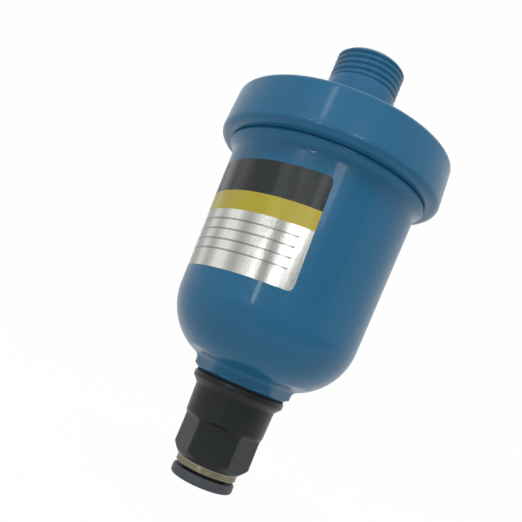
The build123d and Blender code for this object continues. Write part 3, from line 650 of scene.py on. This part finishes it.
@dataclass
class Bowl:
    """Bowl with its threaded collar, domed end and hexagonal neck; sizes in millimetres."""

    collar_radius: float = 28.4
    collar_top: float = -19.5
    collar_chamfer: float = 0.6
    thread_pitch: float = 2.0
    thread_depth: float = 0.8
    thread_foot_gap: float = 0.4
    thread_top_gap: float = 0.3
    groove_floor: float = 26.64
    seal_level: float = -21.9
    groove_half: float = 1.03
    rim: float = -28.5
    flange_radius: float = 29.66
    flange_foot: float = -29.4
    flange_rounding: float = 0.4
    wall_radius: float = 27.83
    wall_top: float = -31.2
    wall_blend: float = 3.0
    draft: float = 2.1
    wall: float = 3.0
    dome_centre: float = 8.0279
    dome_level: float = -71.8294
    dome_radius: float = 18.3
    dome_angle: float = 66.4653
    neck_radius: float = 14.1338
    neck_blend: float = 2.0
    blend_steps: int = 12
    blend_level: float = -90.4408
    neck_foot: float = -92.2758
    neck_bevel: float = 1.5
    bevel_rise: float = 0.6         # share of the bevel's width
    neck_flats: float = 25.0
    neck_flat_height: float = 3.6
    relief: float = 16.5
    relief_reach: float = -86.45
    relief_soft: float = 0.65
    port: float = 8.35
    port_top: float = -84.0758
    spigot: float = 6.52
    boss_top: float = -81.0758
    boss_radius: float = 12.6

    def on_dome(self, radius: float, degrees: float) -> tuple[float, float]:
        """A point on a circle about the dome's centre, at an angle below level."""
        angle = math.radians(degrees)
        return self.dome_centre + radius * math.cos(angle), self.dome_level - radius * math.sin(angle)

    def wall_at(self, level: float) -> float:
        """The outside radius of the drafted wall at a level."""
        return self.wall_radius - (self.wall_top - level) * math.tan(math.radians(self.draft))

    def build(self, finishes: Finishes) -> None:
        """Makes the bowl, cuts its thread and presses the neck's flats."""
        inner = self.dome_radius - self.wall
        boss_angle = math.degrees(math.acos((self.boss_radius - self.dome_centre) / inner))
        cavity = self.wall_radius - self.wall
        bowl = Turning([
            Corner(self.collar_radius - self.collar_chamfer, self.collar_top),
            Corner(self.collar_radius, self.collar_top - self.collar_chamfer),
            Corner(self.collar_radius, self.seal_level + self.groove_half),
            Corner(self.groove_floor, self.seal_level + self.groove_half),
            Corner(self.groove_floor, self.seal_level - self.groove_half),
            Corner(self.collar_radius, self.seal_level - self.groove_half),
            Corner(self.collar_radius, self.rim),
            Corner(self.flange_radius, self.rim, self.flange_rounding, Grade.COARSE),
            Corner(self.flange_radius, self.flange_foot, self.flange_rounding, Grade.COARSE),
            Corner(self.wall_radius, self.wall_top, self.wall_blend),
            Corner(*self.on_dome(self.dome_radius, self.draft)),
            Sweep(self.dome_centre, self.dome_level, self.dome_angle - self.draft),
            Sweep(self.neck_radius + self.neck_blend, self.blend_level, -self.dome_angle, self.blend_steps),
            Corner(self.neck_radius, self.neck_foot + self.bevel_rise * self.neck_bevel),
            Corner(self.neck_radius - self.neck_bevel, self.neck_foot),
            Corner(self.port, self.neck_foot),
            Corner(self.port, self.port_top),
            Corner(self.spigot, self.port_top),
            Corner(self.spigot, self.boss_top),
            Corner(self.boss_radius, self.boss_top),
            Corner(*self.on_dome(inner, boss_angle)),
            Sweep(self.dome_centre, self.dome_level, self.draft - boss_angle),
            Corner(cavity, self.wall_top),
            Corner(cavity, self.collar_top),
        ], around=FINE_RING_STEPS)
        bowl.thread(self.collar_radius, self.rim + self.thread_foot_gap,
                    self.seal_level - self.groove_half - self.thread_top_gap,
                    self.thread_pitch, self.thread_depth)
        bowl.flats(self.neck_flats, 0, self.neck_foot, self.neck_foot + self.neck_flat_height,
                   self.relief_reach, self.relief, self.relief_soft)
        dress(bowl.piece("painted_bowl"), finishes.paint, "bowl", "blue_paint", "bowl")


@dataclass
class Label:
    """Foil label wrapped round the bowl; sizes in millimetres along its face."""

    bowl: Bowl
    length: float = 75.0
    height: float = 30.3
    foot: float = -66.7
    right_edge: float = 6.55
    tilt: float = 1.7
    corner: float = 1.5
    corner_steps: int = 8
    column_width: float = 1.0
    row_height: float = 2.6
    plane_reach: float = 1e-6
    lift: float = 0.04
    thickness: float = 0.05

    def bend(self, spot: Vector) -> Vector:
        """Lays a point of the flat label on the bowl's wall."""
        lean = math.radians(self.tilt)
        along = (spot.x - self.length) * math.cos(lean) - spot.y * math.sin(lean)
        level = self.foot + spot.y * math.cos(lean) + (spot.x - self.length) * math.sin(lean)
        radius = self.bowl.wall_at(level) + self.lift
        angle = math.radians(self.right_edge) + along / self.bowl.wall_at(self.foot + self.height / 2)
        return Vector((radius * math.sin(angle), -radius * math.cos(angle), level)) * MM

    def flat(self) -> bmesh.types.BMesh:
        """The flat label, with its rounded corners, a grid of cuts and a UV map."""
        mesh = bmesh.new()
        half = Matrix.Translation((self.length / 2, self.height / 2, 0))
        bmesh.ops.create_grid(mesh, x_segments=1, y_segments=1, size=0.5,
                              matrix=half @ Matrix.Diagonal((self.length, self.height, 1, 1)))
        bmesh.ops.bevel(mesh, geom=mesh.verts[:], offset=self.corner, offset_type="OFFSET",
                        segments=self.corner_steps, profile=0.5, affect="VERTICES", clamp_overlap=True,
                        material=-1)
        columns = ((1, 0, 0), self.length, self.column_width)
        rows = ((0, 1, 0), self.height, self.row_height)
        for normal, reach, step in (columns, rows):
            for index in range(1, int(reach / step)):
                bmesh.ops.bisect_plane(
                    mesh, geom=[*mesh.verts, *mesh.edges, *mesh.faces], dist=self.plane_reach,
                    plane_co=Vector(normal) * index * step, plane_no=normal)
        layer = mesh.loops.layers.uv.new("millimetres")
        for face in mesh.faces:
            for loop in face.loops:
                loop[layer].uv = (loop.vert.co.x, loop.vert.co.y)
        return mesh

    def build(self) -> None:
        """Lays the flat label on the bowl, faces it outwards, thickens it and dresses it."""
        mesh = self.flat()
        for vert in mesh.verts:
            vert.co = self.bend(vert.co.copy())
        bmesh.ops.recalc_face_normals(mesh, faces=mesh.faces)
        outward = sum(face.normal.dot(face.calc_center_median() * Vector((1, 1, 0))) for face in mesh.faces)
        if outward < 0:
            bmesh.ops.reverse_faces(mesh, faces=mesh.faces)
        bmesh.ops.solidify(mesh, geom=mesh.faces[:], thickness=self.thickness * MM)
        label = into_object(mesh, "foil_label")
        dress(label, FoilLabel(self.length).build(), "bowl", None)


@dataclass
class Fitting:
    """Push-in fitting with its gasket, brass ring and release collar; sizes in millimetres."""

    play: float = 0.02
    gasket_radius: float = 12.75
    gasket_rounding: float = 0.2
    port: float = 8.33
    neck_foot: float = -92.2758
    face: float = -92.80
    shank_top: float = -84.5758
    shank_chamfer: float = 0.6
    bead_radius: float = 13.1
    bead_edge: float = 0.4
    bead_foot: float = -94.40
    bead_round: float = 0.7
    sleeve_top_radius: float = 11.5
    sleeve_top: float = -96.10
    sleeve_top_round: float = 0.8
    sleeve_radius: float = 11.2
    sleeve_foot: float = -103.5758
    sleeve_foot_round: float = 0.25
    sleeve_foot_gap: float = 0.26
    hex_flats: float = 19.0
    hex_envelope: float = 10.85
    hex_top: float = -104.6758
    hex_foot: float = -112.7758
    hex_turn: float = -3.0
    hex_relief: float = 38.0
    hex_soft: float = 0.25
    body_foot: float = -114.9758
    nose: float = 8.8
    nose_rounding: float = 0.2
    flow: float = 4.0
    passage: float = 5.1
    stop: float = -101.9458
    cartridge: float = 7.4
    cartridge_top: float = -107.5458
    ring_radius: float = 8.6
    ring_foot: float = -116.6758
    ring_top: float = -113.6758
    ring_bore: float = 6.11
    ring_pocket: float = 6.56
    ring_shelf: float = -114.6758
    line_half: float = 0.2
    line_depth: float = 1.7         # in half widths
    collar_bore: float = 5.2
    collar_sleeve: float = 6.05
    collar_barb: float = 6.5
    barb_height: float = 0.7
    barb_slope: float = 0.45
    head_rounding: float = 0.7
    bore_rounding: float = 0.6
    head_radius: float = 8.8
    head_top: float = -117.5758
    head_foot: float = -120.1758

    def gasket(self) -> Turning:
        """The flat ring between the neck and the fitting."""
        return Turning([
            Corner(self.port + self.play, self.face),
            Corner(self.gasket_radius, self.face, self.gasket_rounding, Grade.COARSE),
            Corner(self.gasket_radius, self.neck_foot, self.gasket_rounding, Grade.COARSE),
            Corner(self.port + self.play, self.neck_foot),
        ])

    def body(self) -> Turning:
        """The body, with its bead, cone, sleeve and hexagon."""
        body = Turning([
            Corner(self.flow, self.shank_top),
            Corner(self.port - self.shank_chamfer, self.shank_top),
            Corner(self.port, self.shank_top - self.shank_chamfer),
            Corner(self.port, self.face),
            Corner(self.bead_radius, self.face, self.bead_edge),
            Corner(self.bead_radius, self.bead_foot, self.bead_round),
            Corner(self.sleeve_top_radius, self.sleeve_top, self.sleeve_top_round),
            Corner(self.sleeve_radius, self.sleeve_foot, self.sleeve_foot_round, Grade.COARSE),
            Corner(self.hex_envelope, self.hex_top),
            Corner(self.hex_envelope, self.hex_foot),
            Corner(self.nose, self.body_foot, self.nose_rounding, Grade.COARSE),
            Corner(self.cartridge, self.body_foot),
            Corner(self.cartridge, self.cartridge_top),
            Corner(self.passage, self.cartridge_top),
            Corner(self.passage, self.stop),
            Corner(self.flow, self.stop),
        ], around=FINE_RING_STEPS)
        body.flats(self.hex_flats, self.hex_turn, self.body_foot, self.hex_top,
                   self.sleeve_foot - self.sleeve_foot_gap, self.hex_relief, self.hex_soft)
        return body

    def ring(self) -> Turning:
        """The brass ring with its two turned lines."""
        half, outer = self.line_half, self.ring_radius
        inner = outer - self.line_depth * half
        corners = [Corner(self.ring_bore, self.ring_foot), Corner(outer, self.ring_foot)]
        for share in (1 / 3, 2 / 3):
            middle = self.ring_foot + (self.body_foot - self.ring_foot) * share
            corners += [Corner(outer, middle - half), Corner(inner, middle - half),
                        Corner(inner, middle + half), Corner(outer, middle + half)]
        corners += [
            Corner(outer, self.body_foot),
            Corner(self.cartridge - self.play, self.body_foot),
            Corner(self.cartridge - self.play, self.ring_top),
            Corner(self.ring_pocket, self.ring_top),
            Corner(self.ring_pocket, self.ring_shelf),
            Corner(self.ring_bore, self.ring_shelf),
        ]
        return Turning(corners)

    def collar(self) -> Turning:
        """The release collar with its barb and rounded head."""
        barb_foot = self.ring_shelf + self.play
        barb_top = barb_foot + self.barb_height
        return Turning([
            Corner(self.collar_bore, barb_top),
            Corner(self.collar_sleeve, barb_top),
            Corner(self.collar_barb, barb_top - self.barb_slope),
            Corner(self.collar_barb, barb_foot),
            Corner(self.collar_sleeve, barb_foot),
            Corner(self.collar_sleeve, self.head_top),
            Corner(self.head_radius, self.head_top, self.head_rounding),
            Corner(self.head_radius, self.head_foot, self.head_rounding),
            Corner(self.collar_bore, self.head_foot, self.bore_rounding),
        ])

    def build(self, finishes: Finishes) -> None:
        """Makes and dresses the fitting's pieces."""
        dress(self.gasket().piece("neck_gasket_ring"), finishes.rubber, "bowl", "black_rubber",
              "neck_gasket")
        dress(self.body().piece("fitting_shell"), finishes.black, "bowl", "black_plastic",
              "fitting_body")
        dress(self.ring().piece("turned_brass_ring"), finishes.brass, "bowl", "brass", "brass_ring")
        dress(self.collar().piece("push_collar"), finishes.collar, "release_collar", "black_plastic",
              "release_collar")


@dataclass
class Mechanism:
    """The pieces inside, which take a finish each and, but for the spring, keep their own solids."""

    rubber: tuple[str, ...] = ("lid_seal", "tube_seal", "base_seal", "cap_seal", "piston_seal",
                               "valve_seal", "pilot_pad")
    brass: tuple[str, ...] = ("drain_base", "pilot_nozzle", "valve_stem")
    steel: tuple[str, ...] = ("gripper", "drain_strainer", "float_clip", "lever", "lever_pin")
    pale: tuple[str, ...] = ("valve_housing", "pilot_cap", "piston", "float")
    black: tuple[str, ...] = ("seal_washer",)
    valve_travel: float = 2.5

    def build(self, finishes: Finishes, nodes: dict[str, bpy.types.Object]) -> None:
        """Gives each inner piece its material and makes the spring."""
        for names, material in ((self.rubber, finishes.rubber), (self.brass, finishes.brass),
                                (self.steel, finishes.steel), (self.pale, finishes.pale),
                                (self.black, finishes.black)):
            for name in names:
                nodes[name].data.materials.clear()
                nodes[name].data.materials.append(material)
                log.info("%s: %s", name, material.name)
        self.spring(finishes, nodes["piston_spring"])

    def spring(self, finishes: Finishes, node: bpy.types.Object) -> None:
        """Makes the spring a piece of its own."""
        piece = bpy.data.objects.new("coil_spring", node.data.copy())
        piece.matrix_world = node.matrix_world
        bpy.context.scene.collection.objects.link(piece)
        dress(piece, finishes.steel, "bowl", "steel", "piston_spring")
        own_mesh(piece)


# ------------------------------------------------------------------ studio
@dataclass
class Lamp:
    """A rectangular lamp placed round the valve: azimuth 0 is in front and grows to the right."""

    name: str
    azimuth: float
    level: float
    distance: float
    width: float
    height: float
    power: float
    glossy: bool = True
    diffuse: bool = True

    def build(self, target: Vector) -> None:
        """Makes the lamp and points it at the target."""
        angle = math.radians(self.azimuth)
        data = bpy.data.lights.new(self.name, "AREA")
        data.shape, data.energy = "RECTANGLE", self.power
        data.size, data.size_y = self.width, self.height
        lamp = bpy.data.objects.new(self.name, data)
        lamp.location = (self.distance * math.sin(angle), -self.distance * math.cos(angle), self.level)
        lamp.visible_glossy, lamp.visible_diffuse = self.glossy, self.diffuse
        lamp.rotation_mode = "QUATERNION"
        lamp.rotation_quaternion = (target - lamp.location).to_track_quat("-Z", "Y")
        bpy.context.scene.collection.objects.link(lamp)


@dataclass
class Studio:
    """Pale floor and surround, lamps, cards for the glosses, and the camera; sizes in metres."""

    eye: tuple[float, float, float] = (0.0, -0.1763, -0.0862)
    yaw: float = -2.6
    pitch: float = 9.0
    roll: float = -22.8
    lens: float = 43.17
    sensor: float = 36.0
    clip: float = 0.005
    lamp_target: float = -0.055
    floor_gap: float = 0.012
    floor_half: float = 3.0
    floor_glow: float = 0.97
    soft_light: float = 0.60
    card_lift: float = 0.001
    card_azimuth: float = 15.0
    card_distance: float = 0.78
    card_middle: float = 0.55       # share of the card's distance
    card_depth: float = 0.8         # share of the card's distance
    card_level: float = 0.05
    card_size: tuple[float, float] = (1.6, 0.34)
    card_glow: float = 0.30
    lamps: tuple[Lamp, ...] = (
        Lamp("overhead", 0, 0.68, 0.52, 0.42, 0.30, 4.9, glossy=False),
        Lamp("lid_strip", -24, 0.31, 0.60, 0.050, 0.16, 0.26, diffuse=False),
        Lamp("left_strip", -34, 0.13, 0.60, 0.120, 0.08, 0.17, diffuse=False),
        Lamp("low_strip", -23, -0.02, 0.60, 0.040, 0.12, 0.34, diffuse=False),
        Lamp("right_strip", 12, 0.10, 0.60, 0.120, 0.16, 0.48, diffuse=False),
    )

    def camera(self) -> None:
        """Places the camera, which leans over as the valve hangs aslant in its view."""
        yaw, pitch, roll = (math.radians(a) for a in (self.yaw, self.pitch, self.roll))
        level = math.cos(pitch)
        ahead = Vector((math.sin(yaw) * level, math.cos(yaw) * level, math.sin(pitch)))
        right = Vector((math.cos(yaw), -math.sin(yaw), 0))
        up = right.cross(ahead)
        across = right * math.cos(roll) - up * math.sin(roll)
        upward = right * math.sin(roll) + up * math.cos(roll)
        turn = Matrix((across, upward, -ahead)).transposed().to_4x4()
        data = bpy.data.cameras.new("camera")
        data.lens, data.sensor_width, data.clip_start = self.lens, self.sensor, self.clip
        eye = bpy.data.objects.new("camera", data)
        eye.matrix_world = Matrix.Translation(self.eye) @ turn
        bpy.context.scene.collection.objects.link(eye)
        bpy.context.scene.camera = eye

    def floor(self, level: float) -> None:
        """Lays the pale floor below the hanging valve, with room for the bowl to come down."""
        mesh = bmesh.new()
        bmesh.ops.create_grid(mesh, x_segments=1, y_segments=1, size=self.floor_half,
                              matrix=Matrix.Translation((0, 0, level)))
        floor = into_object(mesh, "floor")
        s = Shader("pale_floor")
        cloud = s.noise(s.place(), 3, 2)
        diffuse = s.node("ShaderNodeBsdfDiffuse", {}, {
            "Color": s.mix(cloud, opaque((0.80, 0.80, 0.80)), opaque((0.84, 0.84, 0.84)))})
        glow = s.node("ShaderNodeEmission", {}, {"Color": opaque((1, 1, 1)), "Strength": 1.0})
        share = s.pale_rays() * self.floor_glow
        surface = s.node("ShaderNodeMixShader", {}, {0: share, 1: diffuse, 2: glow})
        s.node_output(surface)
        floor.data.materials.append(s.owner)
        floor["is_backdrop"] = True

    def cards(self, level: float) -> None:
        """Sets a dim card upright past the lamps and lays one on the floor; only glosses show them."""
        s = Shader("dim_card")
        glow = {"Color": opaque((1, 1, 1)), "Strength": self.card_glow}
        s.node_output(s.node("ShaderNodeEmission", {}, glow))
        turn = Matrix.Rotation(math.radians(self.card_azimuth), 4, "Z")
        upright = (Matrix.Translation((0, -self.card_distance, self.card_level))
                   @ Matrix.Rotation(math.pi / 2, 4, "X") @ Matrix.Diagonal((*self.card_size, 1, 1)))
        lying = (Matrix.Translation((0, -self.card_distance * self.card_middle, level + self.card_lift))
                 @ Matrix.Diagonal((self.card_size[0], self.card_distance * self.card_depth, 1, 1)))
        for name, place in (("upright_card", upright), ("lying_card", lying)):
            mesh = bmesh.new()
            bmesh.ops.create_grid(mesh, x_segments=1, y_segments=1, size=0.5, matrix=turn @ place)
            card = into_object(mesh, name)
            card.data.materials.append(s.owner)
            card.visible_camera = card.visible_diffuse = False
            card.visible_shadow = card.visible_transmission = False
            card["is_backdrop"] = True

    def world(self) -> None:
        """Sets a soft pale surround, white where the camera or a gloss sees it."""
        s = Shader("surround", Home.WORLD)
        around = {"Color": opaque((1, 1, 1)), "Strength": self.soft_light}
        seen = {"Color": opaque((0.99, 0.99, 0.99)), "Strength": 1.0}
        soft = s.node("ShaderNodeBackground", {}, around)
        white = s.node("ShaderNodeBackground", {}, seen)
        s.node_output(s.node("ShaderNodeMixShader", {}, {0: s.pale_rays(), 1: soft, 2: white}))
        bpy.context.scene.world = s.owner

    def build(self, low: Vector) -> None:
        """Makes the whole studio round the valve."""
        bpy.context.scene.view_settings.view_transform = "Standard"
        self.camera()
        self.floor(low.z - self.floor_gap)
        self.cards(low.z - self.floor_gap)
        self.world()
        for lamp in self.lamps:
            lamp.build(Vector((0, 0, self.lamp_target)))


def main() -> None:
    """Builds the valve's pieces and the studio."""
    logging.basicConfig(level=logging.INFO, format="%(message)s")
    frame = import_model()
    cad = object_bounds()
    finishes = Finishes()
    bowl = Bowl()
    Lid().build(finishes)
    bowl.build(finishes)
    Label(bowl).build()
    Fitting().build(finishes)
    Mechanism().build(finishes, frame["nodes"])
    Studio().build(cad[0])


if __name__ == "__main__":
    main()
